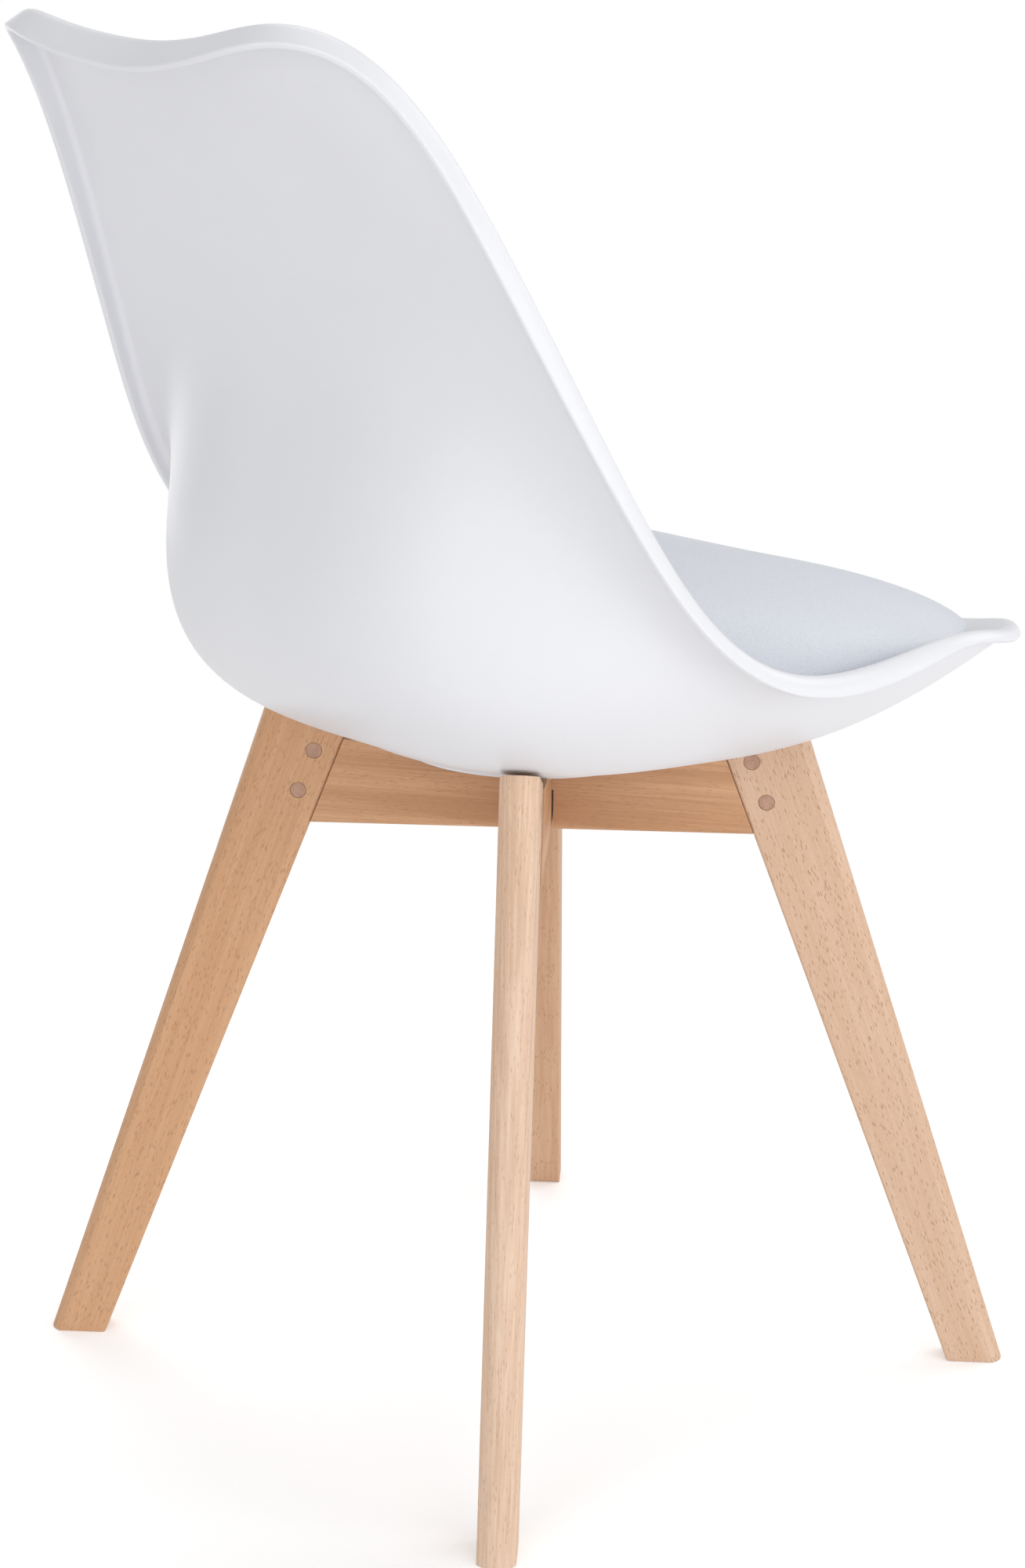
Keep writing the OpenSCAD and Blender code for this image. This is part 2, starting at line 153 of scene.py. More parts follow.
def arc(centre: tuple[float, float], radius: float, start: float, end: float, steps: int) -> Array:
    """Points (r, z) on an arc about centre, from angle start to end in degrees, both included."""
    a = np.radians(np.linspace(start, end, steps + 1))
    return np.stack([centre[0] + radius * np.cos(a), centre[1] + radius * np.sin(a)], -1)


@dataclass
class Build:
    """Points and faces of one piece, gathered from grids of points."""

    points: list[Array] = field(default_factory=list)
    faces: list[Array] = field(default_factory=list)
    count: int = 0

    def add(self, points: Array, *faces: Array) -> Array:
        """Adds points and faces.

        Args:
            points: (n, 3) in metres.
            faces: arrays of corner indices into points, one row for each face.

        Returns:
            The indices that the points have in the piece.
        """
        self.points.append(points.reshape(-1, 3))
        self.faces += [f + self.count for f in faces]
        self.count += len(self.points[-1])
        return np.arange(self.count - len(self.points[-1]), self.count)

    def grid(self, points: Array, wrap_rows: bool = False, wrap_columns: bool = True) -> Array:
        """Adds a grid of points with a four-cornered face in each cell.

        Args:
            points: (rows, columns, 3).
            wrap_rows: the last row joins the first.
            wrap_columns: the last column joins the first.

        Returns:
            The points' indices, (rows, columns).
        """
        rows, columns = points.shape[:2]
        index = np.arange(rows * columns).reshape(rows, columns)
        down = np.roll(index, -1, 0) if wrap_rows else index[1:]
        here = index if wrap_rows else index[:-1]
        a, b = here, np.roll(here, -1, 1)
        d, c = down, np.roll(down, -1, 1)
        quads = np.stack([a, d, c, b], -1)
        if not wrap_columns:
            quads = quads[:, :-1]
        return self.add(points, quads.reshape(-1, 4)).reshape(rows, columns)

    def fan(self, ring: Array, centre: Array, flip: bool = False) -> None:
        """Closes a ring of point indices with triangles to one new point in the middle."""
        hub = self.add(centre.reshape(1, 3))[0]
        after = np.roll(ring, -1)
        pair = (after, ring) if flip else (ring, after)
        self.faces.append(np.stack([*pair, np.full(len(ring), hub)], -1))

    def mesh(self, name: str) -> Mesh:
        """The gathered points and faces as one mesh.

        Args:
            name: the mesh's name.

        Returns:
            The mesh.
        """
        points = np.concatenate(self.points)
        sizes = np.concatenate([np.full(len(f), f.shape[1]) for f in self.faces])
        corners = np.concatenate([f.ravel() for f in self.faces])
        made = bpy.data.meshes.new(name)
        made.vertices.add(len(points))
        made.vertices.foreach_set("co", points.astype(np.float32).ravel())
        made.loops.add(len(corners))
        made.loops.foreach_set("vertex_index", corners.astype(np.int32))
        made.polygons.add(len(sizes))
        made.polygons.foreach_set("loop_start", (np.cumsum(sizes) - sizes).astype(np.int32))
        made.update(calc_edges=True)
        made.validate()
        return made


def piece(name: str, mesh: Mesh, material: Material,
          replaces: tuple[str, ...] = ()) -> Thing:
    """Puts a mesh in the scene as a finished piece that rides on the chair.

    Args:
        name: the piece's name.
        mesh: its mesh, in place.
        material: its finish.
        replaces: the CAD nodes it stands for.

    Returns:
        The piece's object.
    """
    made = bpy.data.objects.new(name, mesh)
    bpy.context.scene.collection.objects.link(made)
    mesh.materials.clear()
    mesh.materials.append(material)
    mesh.shade_smooth()
    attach(made, "root")
    if replaces:
        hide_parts(*replaces)
    LOG.info("%s: %d faces", name, len(mesh.polygons))
    return made


def applied(thing: Thing) -> Mesh:
    """A new mesh of an object with its modifiers applied."""
    graph = bpy.context.evaluated_depsgraph_get()
    return bpy.data.meshes.new_from_object(thing.evaluated_get(graph))


# ---- shader wiring
class Value:
    """A number inside a material. Sums of values add the Math nodes that work them out."""

    def __init__(self, graph: "Graph", socket: Socket) -> None:
        """Wraps a node's output socket."""
        self.graph = graph
        self.socket = socket

    def math(self, operation: str, *inputs: "float | Value", clamp: bool = False) -> "Value":
        """A Math node on the given inputs.

        Args:
            operation: the node's operation.
            inputs: its numbers or values, in order.
            clamp: keeps the result from 0 to 1.

        Returns:
            The result.
        """
        made = self.graph.node("ShaderNodeMath", {"operation": operation, "use_clamp": clamp},
                               dict(enumerate(inputs)))
        return Value(self.graph, made.outputs[0])

    def __add__(self, other: "float | Value") -> "Value":
        """Sum."""
        return self.math("ADD", self, other)

    def __sub__(self, other: "float | Value") -> "Value":
        """Difference."""
        return self.math("SUBTRACT", self, other)

    def __rsub__(self, other: "float | Value") -> "Value":
        """Difference from a number."""
        return self.math("SUBTRACT", other, self)

    def __mul__(self, other: "float | Value") -> "Value":
        """Product."""
        return self.math("MULTIPLY", self, other)

    __radd__, __rmul__ = __add__, __mul__

    def __pow__(self, other: "float | Value") -> "Value":
        """Power."""
        return self.math("POWER", self, other)

    def __abs__(self) -> "Value":
        """Size without its sign."""
        return self.math("ABSOLUTE", self)

    def clamp(self) -> "Value":
        """The value kept from 0 to 1."""
        return self.math("ADD", self, 0.0, clamp=True)

    def ramp(self, low: float, high: float) -> "Value":
        """0 at low, 1 at high, smooth between; low may be the larger."""
        made = self.graph.node("ShaderNodeMapRange", {"interpolation_type": "SMOOTHSTEP"},
                               {"Value": self, "From Min": low, "From Max": high})
        return Value(self.graph, made.outputs["Result"])


class Graph:
    """A material's nodes, made one by one."""

    def __init__(self, name: str) -> None:
        """Starts an empty material of that name."""
        self.material = bpy.data.materials.new(name)
        self.material.use_nodes = True
        self.tree = self.material.node_tree
        self.tree.nodes.clear()
        self.output = self.node("ShaderNodeOutputMaterial", {}, {})
        self.place = self.node("ShaderNodeTexCoord", {}, {}).outputs["Object"]

    def node(self, kind: str, settings: dict, inputs: dict) -> bpy.types.Node:
        """Makes a node.

        Args:
            kind: the node's type.
            settings: its own settings, set first.
            inputs: values, or values' sockets, for its inputs by name or place.

        Returns:
            The node.
        """
        made = self.tree.nodes.new(kind)
        for key, value in settings.items():
            setattr(made, key, value)
        for key, value in inputs.items():
            source = value.socket if isinstance(value, Value) else value
            if isinstance(source, Socket):
                self.tree.links.new(source, made.inputs[key])
            else:
                made.inputs[key].default_value = source
        return made

    def turned(self, rotation: Vector | tuple, scale: tuple,
               shift: tuple = (0, 0, 0)) -> Socket:
        """The piece's own coordinates, turned so that a pattern's Z runs along an axis, and scaled.

        Args:
            rotation: turn in radians about X, Y and Z, applied after the shift.
            scale: cells per metre along each turned axis.
            shift: moves the pattern, in metres.

        Returns:
            The coordinates' socket.
        """
        moved = self.node("ShaderNodeMapping", {}, {"Vector": self.place, "Location": shift,
                                                    "Rotation": tuple(rotation)})
        made = self.node("ShaderNodeVectorMath", {"operation": "MULTIPLY"},
                         {0: moved.outputs[0], 1: scale})
        return made.outputs[0]

    def even(self, scale: float) -> Socket:
        """The piece's own coordinates with the same number of cells per metre each way."""
        return self.turned((0, 0, 0), (scale,) * 3)

    def noise(self, vector: Socket, detail: float = 2.0,
              rough: float = 0.5) -> Value:
        """Noise from about 0 to 1 at the given coordinates."""
        made = self.node("ShaderNodeTexNoise", {}, {"Vector": vector, "Scale": 1.0,
                                                    "Detail": detail, "Roughness": rough})
        return Value(self, made.outputs[0])

    def cells(self, vector: Socket, scale: float = 1.0) -> tuple[Value, Value]:
        """Distance to the nearest scattered point, and a random number that each point has."""
        made = self.node("ShaderNodeTexVoronoi", {"feature": "F1"},
                         {"Vector": vector, "Scale": scale, "Randomness": 1.0})
        parts = self.node("ShaderNodeSeparateColor", {}, {0: made.outputs["Color"]})
        return Value(self, made.outputs["Distance"]), Value(self, parts.outputs[0])

    def mix(self, share: Value, first: "Colour | Socket",
            second: "Colour | Socket") -> Socket:
        """A colour between two others.

        Args:
            share: 0 for the first, 1 for the second.
            first: a colour or a colour's socket.
            second: the same.

        Returns:
            The colour's socket.
        """
        # a Mix node's colours are its inputs 6 and 7 and its output 2
        ends = {6 + i: (*c, 1) if isinstance(c, tuple) else c
                for i, c in enumerate((first, second))}
        made = self.node("ShaderNodeMix", {"data_type": "RGBA", "clamp_factor": True},
                         {0: share, **ends})
        return made.outputs[2]

    def bump(self, height: Value, depth: float) -> Socket:
        """A normal for a height from 0 to 1, depth metres deep."""
        made = self.node("ShaderNodeBump", {},
                         {"Height": height, "Strength": 1.0, "Distance": depth})
        return made.outputs[0]

    def finish(self, **inputs: object) -> Material:
        """Ends the material in a Principled shader.

        Args:
            inputs: the shader's inputs, with _ for a space in a name.

        Returns:
            The material.
        """
        named = {key.replace("_", " "): value for key, value in inputs.items()}
        shader = self.node("ShaderNodeBsdfPrincipled", {}, named)
        self.tree.links.new(shader.outputs[0], self.output.inputs[0])
        return self.material


# ---- finishes
@dataclass(frozen=True)
class MouldedPlastic:
    """Satin moulded polypropylene: faint mottling, a fine spark-eroded skin."""

    name: str = "shell_plastic"
    colour: Colour = (0.800, 0.805, 0.836)
    shade: Colour = (0.786, 0.791, 0.822)
    roughness: float = 0.42
    grain: float = 0.000035

    def material(self) -> Material:
        """The finish's material."""
        g = Graph(self.name)
        flow = g.noise(g.even(6), detail=3)
        fine = g.noise(g.even(1400), detail=3, rough=0.6)
        wave = g.noise(g.even(38), detail=2)
        return g.finish(
            Base_Color=g.mix(flow.ramp(0.35, 0.7), self.colour, self.shade),
            Roughness=self.roughness - 0.05 + flow * 0.06 + fine * 0.05,
            Normal=g.bump(fine + wave * 0.8, self.grain),
            IOR=1.49)


@dataclass(frozen=True)
class LeatherLook:
    """Coated fabric with a fine pebble grain, painted shade in the valleys between the pebbles, and
    a soft sheen.
    """

    name: str = "pad_leather_look"
    colour: Colour = (0.678, 0.702, 0.757)
    # darker colour: painted shade in the valleys between the pebbles, and a random darker tone for
    # each pebble
    tone_and_valley_shade: Colour = (0.640, 0.664, 0.722)
    worn: Colour = (0.80, 0.81, 0.86)
    roughness: float = 0.46
    pebble: float = 860.0
    grain: float = 0.00008

    def material(self) -> Material:
        """The finish's material."""
        g = Graph(self.name)
        wander = g.noise(g.even(140), detail=3)
        spot = g.node("ShaderNodeVectorMath", {"operation": "MULTIPLY_ADD"},
                      {0: g.place, 1: (self.pebble,) * 3, 2: wander.socket})
        pebble, tone = g.cells(spot.outputs[0])
        fine, _ = g.cells(spot.outputs[0], scale=2.1)
        hair = g.noise(g.even(3200), detail=2)
        broad = g.noise(g.even(16), detail=3)
        crown = 1 - (pebble ** 1.6) * 0.9 - fine * 0.25
        # painted shade: the valleys between the pebbles, already low in the bump, are darkened in
        # the colour
        valley_shaded = g.mix((pebble - 0.25).ramp(0.1, 0.55), self.colour, self.tone_and_valley_shade)
        toned = g.mix(broad.ramp(0.3, 0.75) * 0.06, valley_shaded, self.worn)
        return g.finish(
            Base_Color=g.mix(tone * 0.06, toned, self.tone_and_valley_shade),
            Roughness=self.roughness + pebble * 0.12 - broad * 0.06,
            Normal=g.bump(crown + hair * 0.12, self.grain),
            Sheen_Weight=0.12, Sheen_Roughness=0.5, IOR=1.45)


@dataclass(frozen=True)
class Beech:
    """Clear-oiled beech: long streaks, short brown flecks along the grain, darker end grain.

    The grain runs along the direction along, and the direction face is square to a broad side.
    """

    name: str
    along: tuple[float, float, float]
    face: tuple[float, float, float]
    light: Colour = (0.700, 0.465, 0.300)
    dark: Colour = (0.560, 0.330, 0.185)
    fleck: Colour = (0.330, 0.155, 0.070)
    pore: Colour = (0.36, 0.20, 0.11)
    sawn: Colour = (0.60, 0.40, 0.26)
    flecks: float = 0.75
    bands: float = 0.55
    grain: float = 0.5
    relief: float = 0.00007
    seed: float = 0.0

    def turn(self) -> Vector:
        """Turn that brings the grain onto Z and the broad face onto Y, as X, Y, Z angles."""
        grain = Vector(self.along).normalized()
        across = grain.cross(Vector(self.face)).normalized()
        deep = across.cross(grain)
        return Vector(Matrix((across, -deep, grain)).to_euler())

    def material(self) -> Material:
        """The finish's material."""
        g = Graph(self.name)
        turn, shift = self.turn(), tuple(self.seed * share for share in (0.37, 0.11, 0.23))

        def at(scale: tuple[float, float, float]) -> Socket:
            """Coordinates with that many cells per metre across, through and along the grain."""
            return g.turned(turn, scale, shift)

        # growth bands, streaks and fibres: noise drawn out along the grain
        bands = g.noise(at((62, 40, 2.2)), detail=3, rough=0.55)
        streak = g.noise(at((700, 420, 13)), detail=4, rough=0.62)
        fibre = g.noise(at((2600, 1800, 60)), detail=2, rough=0.6)
        # flecks: points scattered in cells drawn out along the grain, seen as thin lens shapes
        near, pick = g.cells(at((1300, 900, 165)))
        fleck = near.ramp(0.38, 0.14) * pick.ramp(0.46, 0.60)
        small, rare = g.cells(at((2200, 1300, 400)))
        speck = small.ramp(0.36, 0.12) * rare.ramp(0.40, 0.7)
        mark = (fleck + speck * 0.5).clamp() * self.flecks
        tone = (bands.ramp(0.34, 0.68) * self.bands + streak.ramp(0.34, 0.68) * self.grain
                + fibre.ramp(0.2, 0.8) * 0.16)
        wood = g.mix(tone, self.light, self.dark)
        # end grain shows where the surface faces along the grain
        normal = g.node("ShaderNodeNewGeometry", {}, {}).outputs["Normal"]
        facing = g.node("ShaderNodeVectorMath", {"operation": "DOT_PRODUCT"},
                        {0: normal, 1: tuple(Vector(self.along).normalized())})
        end = abs(Value(g, facing.outputs["Value"])).ramp(0.72, 0.9)
        pores, _ = g.cells(at((2400, 2400, 300)))
        sawn = g.mix(pores.ramp(0.1, 0.6), self.pore, self.sawn)
        marked = g.mix(mark * (1 - end), wood, self.fleck)
        return g.finish(
            Base_Color=g.mix(end * 0.7, marked, sawn),
            Roughness=0.50 + streak * 0.10 - mark * 0.08,
            Normal=g.bump(1 - mark * 0.8 + fibre * 0.5 + streak * 0.3, self.relief),
            IOR=1.45, Specular_IOR_Level=0.42)


@dataclass(frozen=True)
class DowelWood:
    """End of a beech dowel sanded flush: fine dark speckles on a brown ground."""

    name: str = "dowel_beech"
    colour: Colour = (0.520, 0.315, 0.225)
    dark: Colour = (0.300, 0.150, 0.098)
    grain: float = 0.00006

    def material(self) -> Material:
        """The finish's material."""
        g = Graph(self.name)
        speckle, pick = g.cells(g.even(1500))
        broad = g.noise(g.even(260), detail=3)
        return g.finish(
            Base_Color=g.mix((speckle.ramp(0.55, 0.15) * pick.ramp(0.2, 0.8) * 0.6
                              + broad.ramp(0.35, 0.8) * 0.35), self.colour, self.dark),
            Roughness=0.55 + broad * 0.1,
            Normal=g.bump(speckle, self.grain), IOR=1.45)


@dataclass(frozen=True)
class Metal:
    """Plated or turned metal with fine tool marks."""

    name: str
    colour: Colour
    roughness: float
    marks: float = 0.00002

    def material(self) -> Material:
        """The finish's material."""
        g = Graph(self.name)
        marks = g.noise(g.turned((0, 0, 0), (900, 900, 2600)), detail=3)
        cloud = g.noise(g.even(120), detail=2)
        tint = tuple(0.82 * c for c in self.colour)
        return g.finish(
            Base_Color=g.mix(cloud.ramp(0.3, 0.7), self.colour, tint), Metallic=1.0,
            Roughness=self.roughness + marks * 0.12 + cloud * 0.06,
            Normal=g.bump(marks, self.marks))


@dataclass(frozen=True)
class Foam:
    """Cut open-cell foam."""

    name: str = "pad_foam_cells"
    colour: Colour = (0.82, 0.78, 0.62)
    shade: Colour = (0.66, 0.60, 0.42)
    grain: float = 0.0004

    def material(self) -> Material:
        """The finish's material."""
        g = Graph(self.name)
        cell, pick = g.cells(g.even(900))
        return g.finish(
            Base_Color=g.mix(cell.ramp(0.1, 0.6) * 0.5 + pick * 0.2, self.colour, self.shade),
            Roughness=0.9, Normal=g.bump(cell, self.grain))


# ---- the moulded seat
@dataclass
class SeatShell:
    """The one-piece seat and back, with its flanged lip and its hub. Sizes in millimetres.

    The spine and the flank are (y, z) points of the section in the middle plane and at the
    distance flank_x from it. The edge is (distance, fraction from front to top) points. Counts
    are columns round the edge, rings out to it and steps round the lip.
    """

    wall: float = 4.5
    spine: tuple = ((-266, 462), (-146, 433), (-72, 391), (7, 395), (112, 398), (199, 444),
                    (215, 522), (181, 611), (181, 696), (227, 774), (315, 836))
    flank: tuple = ((-260, 514), (-184, 477), (-133, 458), (-94, 460), (-46, 462), (14, 464),
                    (61, 482), (99, 527), (137, 601), (182, 702), (186, 846))
    flank_x: float = 220
    squareness: tuple = (4.75, 3.7, 2.8, 2.4)
    edge: tuple = ((0, .030), (60, .030), (125, .032), (176, .041), (211, .086), (231, .164),
                   (237, .302), (235, .517), (222, .708), (200.5, .792), (172, .888), (144.5, .966),
                   (108.5, .980), (62, .962), (0, .949))
    lip_radius: tuple = (2, 2, 2.5, 4, 4.5, 3.5, 3)
    lip_turn: tuple = (115, 107, 100, 105, 100, 85, 78)
    lip_flange: tuple = (2, 1.5, 1, 1.5, 4, 10, 16)
    hub_z: float = 390
    flat_z: float = 395.5
    hub_r: float = 79.5
    hub_wall: float = 3
    ring_r: float = 60
    ring_wall: float = 2.5
    rib_half: float = 1.25
    soft: float = 0.8
    boss_r: float = 9
    bore_r: float = 4.55
    screw_r: float = 48
    flat_r: float = 120
    middle: float = 0.42
    columns: int = 384
    rings: int = 60
    lip_steps: int = 12
    crossing: Vector = field(default_factory=lambda: sum(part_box("beam_upper"), Vector()) / 2)

    def in_place(self, points: Array) -> Array:
        """Points in millimetres from the crossing of the beams, as metres in the frame."""
        return points * MM + np.array([self.crossing.x, self.crossing.y, 0.0])

    def under(self, p: Array, u: Array) -> Array:
        """Underside of the shell.

        At a fraction u from the front to the top, the section goes from the centre line to the
        side line by the share (|p| / flank_x) to the power of the squareness there; round the
        crossing it is drawn down to the flat that sits on the hub.

        Args:
            p: distances from the middle plane.
            u: fractions from the front to the top.

        Returns:
            Points in millimetres from the crossing.
        """
        power = open_curve(np.array(self.squareness)[:, None], u)[..., 0]
        centre, side = (open_curve(np.array(c, float), u) for c in (self.spine, self.flank))
        share = (np.abs(p) / self.flank_x) ** power
        q = centre + (side - centre) * share[..., None]
        out = (np.hypot(p, q[..., 0]) - 1.025 * self.hub_r) / (self.flat_r - self.hub_r)
        t = np.clip(out, 0, 1)
        rise = np.where(q[..., 1] < 1.13 * self.hub_z, t * t * (3 - 2 * t), 1)
        return np.stack([p, q[..., 0], self.flat_z + (q[..., 1] - self.flat_z) * rise], -1)

    def normal(self, p: Array, u: Array) -> Array:
        """Direction square to the shell, towards the sitter, from differences of the underside."""
        step, part = 1, 0.004
        return unit(np.cross(self.under(p + step, u) - self.under(p - step, u),
                             self.under(p, u + part) - self.under(p, u - part)))

    def lifted(self, p: Array, u: Array, lift: float) -> Array:
        """Points a distance lift above the underside, square to it."""
        return self.under(p, u) + lift * self.normal(p, u)

    def ring(self, k: Array, lift: float) -> Array:
        """Rings at fractions k of the way from the middle to the edge, (k, columns, 3)."""
        s = np.arange(self.columns) / self.columns
        edge = closed_curve(mirrored(np.array(self.edge)), s)
        p = edge[:, 0] * k[:, None]
        u = self.middle + (edge[:, 1] - self.middle) * k[:, None]
        return self.lifted(p, u, lift)

    def lip(self) -> Array:
        """Flanged lip: rings round the edge that bend outwards and down about a centre line one
        lip radius below the edge, run straight along the flange, go round its rounded end, and
        come back inside. Radius, turn and flange each follow a curve from the front to the top.

        Returns:
            (rings, columns, 3) in millimetres.
        """
        s = np.arange(self.columns) / self.columns
        edge = closed_curve(mirrored(np.array(self.edge)), s)
        rim, up = self.under(*edge.T), self.normal(*edge.T)
        out = unit(np.cross(np.roll(rim, -1, 0) - np.roll(rim, 1, 0), up))
        top = 1 - np.abs(1 - 2 * s)
        r, turn, flange = (open_curve(np.array(c, float)[:, None], top)
                           for c in (self.lip_radius, self.lip_turn, self.lip_flange))
        turn = np.radians(turn)

        def at(radius: Array, angle: Array, along: Array | float = 0.0) -> Array:
            """Points at a radius and angle about the lip's centre line, then along the flange."""
            return (rim - r * up + (radius * np.sin(angle) + along * np.cos(angle)) * out
                    + (radius * np.cos(angle) - along * np.sin(angle)) * up)

        share = np.linspace(0, 1, self.lip_steps + 1)[:, None, None]
        half = np.linspace(0, math.pi, 10)[:, None, None]
        run = np.linspace(0, 1, 5)[1:-1, None, None]
        # the end: short rounded corners on a nearly flat face
        corner, w = 0.32 * self.wall, self.wall
        across = np.where(half < math.pi / 2, w - corner * (1 - np.cos(half)),
                          corner * (1 + np.cos(half)))
        end = at(r + across, turn, flange + corner * np.sin(half))
        return np.concatenate([at(r + w, turn * share), at(r + w, turn, flange * run), end,
                               at(r, turn, flange * run[::-1]), at(r, turn * share[::-1])])

    def skin(self, build: Build) -> None:
        """The shell's whole skin: upper side, lip and underside, closed at two poles."""
        k = (np.arange(1, self.rings) / self.rings)
        rows = np.concatenate([self.ring(k, self.wall), self.lip(), self.ring(k[::-1], 0)])
        index = build.grid(self.in_place(rows))
        pole = (np.zeros(1), np.full(1, self.middle))
        build.fan(index[0], self.in_place(self.lifted(*pole, self.wall)))
        build.fan(index[-1], self.in_place(self.under(*pole)), flip=True)

    def turned(self, build: Build, profile: Array, centre: Array, columns: int) -> None:
        """A closed (r, z) profile carried round a vertical axis through centre."""
        a = np.arange(columns) / columns * math.tau
        r, z = profile[:, 0, None], profile[:, 1, None]
        rows = np.stack([centre[0] + r * np.cos(a), centre[1] + r * np.sin(a), z + 0 * a], -1)
        build.grid(self.in_place(rows), wrap_rows=True)

    def wall_ring(self, radius: float, wall: float, fillet: float) -> Array:
        """Profile of a ring under the shell, rounded at its foot and filleted at the shell."""
        top, foot, soft = self.flat_z, self.hub_z, self.soft
        return np.concatenate([
            [[radius - wall, top + 1], [radius + fillet, top + 1]],
            arc((radius + fillet, top - fillet), fillet, 90, 180, 6),
            arc((radius - soft, foot + soft), soft, 0, -90, 4),
            arc((radius - wall + soft, foot + soft), soft, 270, 180, 4)])

    def boss(self) -> Array:
        """Profile of a screw boss with the blind hole for its insert."""
        r, z, bore, soft = self.boss_r, self.hub_z, self.bore_r, self.soft
        fillet, bevel = 1.5, 0.5
        return np.concatenate([
            [[bore, self.flat_z + 2], [r + fillet, self.flat_z + 1]],
            arc((r + fillet, self.flat_z - fillet), fillet, 90, 180, 5),
            arc((r - soft, z + soft), soft, 0, -90, 4), [[bore + bevel, z], [bore, z + bevel]]])

    def rib(self, build: Build, angle: float, start: float, end: float) -> None:
        """A rib from distance start to end along a direction, with a rounded foot: its section
        (across, z) carried along a straight line."""
        top, foot, half, soft = self.flat_z + 1, self.hub_z + 0.5, self.rib_half, self.soft
        section = np.concatenate([[[half, top]], arc((half - 1.0, foot + soft), soft, 0, -90, 3),
                                  arc((1.0 - half, foot + soft), soft, 270, 180, 3),
                                  [[-half, top]]])
        c, s = math.cos(angle), math.sin(angle)
        across, z = section[:, 0], section[:, 1]
        rows = np.stack([np.stack([c * d - s * across, s * d + c * across, z], -1)
                         for d in (start, end)])
        index = build.grid(self.in_place(rows))
        build.faces += [index[:1], index[1:, ::-1]]

    def hub(self, build: Build) -> None:
        """Skirt, inner ring, screw bosses and ribs under the middle of the seat."""
        self.turned(build, self.wall_ring(self.hub_r, self.hub_wall, 0.6), np.zeros(2), 192)
        self.turned(build, self.wall_ring(self.ring_r, self.ring_wall, 1.0), np.zeros(2), 144)
        # ribs end 1 mm inside the skirt and the bosses
        reach, at, clear = self.hub_r - 1, self.screw_r, self.boss_r - 1
        spans = {0.0: [(-reach, reach)],
                 45.0: [(-reach, -at - clear), (clear - at, at - clear), (at + clear, reach)]}
        for turn in (0, 90):
            for angle, runs in spans.items():
                for run in runs:
                    self.rib(build, math.radians(angle + turn), *run)
        for corner in Corner:
            place = self.screw_r * np.array([math.cos(corner.angle), math.sin(corner.angle)])
            self.turned(build, self.boss(), place, 48)

    def build(self) -> None:
        """Makes the shell's piece."""
        made = Build()
        self.skin(made)
        self.hub(made)
        piece("seat_shell_moulded", made.mesh("seat_shell_moulded"),
              MouldedPlastic().material(), ("seat_shell",))


